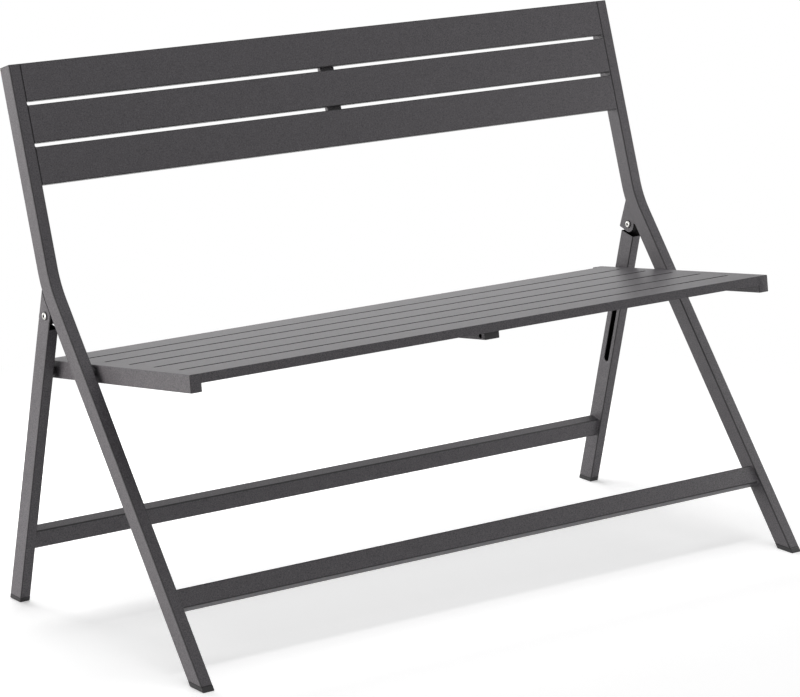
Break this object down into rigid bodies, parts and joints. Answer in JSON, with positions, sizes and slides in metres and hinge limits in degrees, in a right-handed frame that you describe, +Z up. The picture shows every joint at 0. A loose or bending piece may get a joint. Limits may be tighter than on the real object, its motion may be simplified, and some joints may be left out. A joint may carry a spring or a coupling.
{
  "type": "folding garden bench",
  "caption": "Folding bench of dark coated metal tube, with a planked seat and back, splayed legs that fold flat together, and a seat that swings up with them.",
  "frame": {"origin": "on the floor, at the bottom centre of the bounding box of the bench standing open", "axes": "+X across the bench, along the slats; +Y to the back; +Z up"},
  "size_m": [1.2076, 0.569, 0.873],
  "materials": {
    "coated_metal": "aluminium tube and plank with a fine textured anthracite powder coat, satin to matt",
    "black_plastic": "moulded black plastic, matt",
    "steel": "plain stainless steel, satin"
  },
  "bodies": {
    "front_frame": {"upright_left": "coated_metal", "upright_right": "coated_metal", "upright_cap_left": "coated_metal", "upright_cap_right": "coated_metal", "front_foot_left": "black_plastic", "front_foot_right": "black_plastic", "front_rail": "coated_metal", "back_slat_top": "coated_metal", "back_slat_middle": "coated_metal", "back_slat_bottom": "coated_metal", "back_batten": "coated_metal", "hinge_bracket_left": "coated_metal", "hinge_bracket_right": "coated_metal", "hinge_bolt_left": "steel", "hinge_bolt_right": "steel", "hinge_nut_left": "steel", "hinge_nut_right": "steel", "hinge_washer_outer_left": "black_plastic", "hinge_washer_outer_right": "black_plastic", "hinge_washer_inner_left": "black_plastic", "hinge_washer_inner_right": "black_plastic", "seat_pivot_pin_left": "steel", "seat_pivot_pin_right": "steel", "seat_spacer_left": "black_plastic", "seat_spacer_right": "black_plastic", "pivot_insert_left": "steel", "pivot_insert_right": "steel"},
    "rear_frame": {"rear_leg_left": "coated_metal", "rear_leg_right": "coated_metal", "rear_rail": "coated_metal", "rear_foot_left": "black_plastic", "rear_foot_right": "black_plastic"},
    "seat": {"seat_rail_left": "coated_metal", "seat_rail_right": "coated_metal", "seat_rail_front_cap_left": "coated_metal", "seat_rail_front_cap_right": "coated_metal", "seat_rail_rear_cap_left": "black_plastic", "seat_rail_rear_cap_right": "black_plastic", "seat_slat_1": "coated_metal", "seat_slat_2": "coated_metal", "seat_slat_3": "coated_metal", "seat_slat_4": "coated_metal", "seat_slat_5": "coated_metal", "seat_slat_6": "coated_metal", "seat_mid_bar": "coated_metal", "seat_mid_cap_front": "black_plastic", "seat_mid_cap_rear": "black_plastic", "slide_pin_left": "steel", "slide_pin_right": "steel", "slide_bush_left": "black_plastic", "slide_bush_right": "black_plastic"}
  },
  "joints": [
    {"name": "rear_leg_fold", "type": "hinge", "parent": "front_frame", "child": "rear_frame", "pos_m": [0, 0.15421, 0.49111], "axis": [-1, 0, 0], "range_deg": [0, 50]},
    {"name": "seat_fold", "type": "hinge", "parent": "front_frame", "child": "seat", "pos_m": [0, 0.05482, 0.41764], "axis": [-1, 0, 0], "range_deg": [0, 100]}
  ],
  "couplings": [
    {"joint": "seat_fold", "follows": "rear_leg_fold", "ratio": 2}
  ]
}
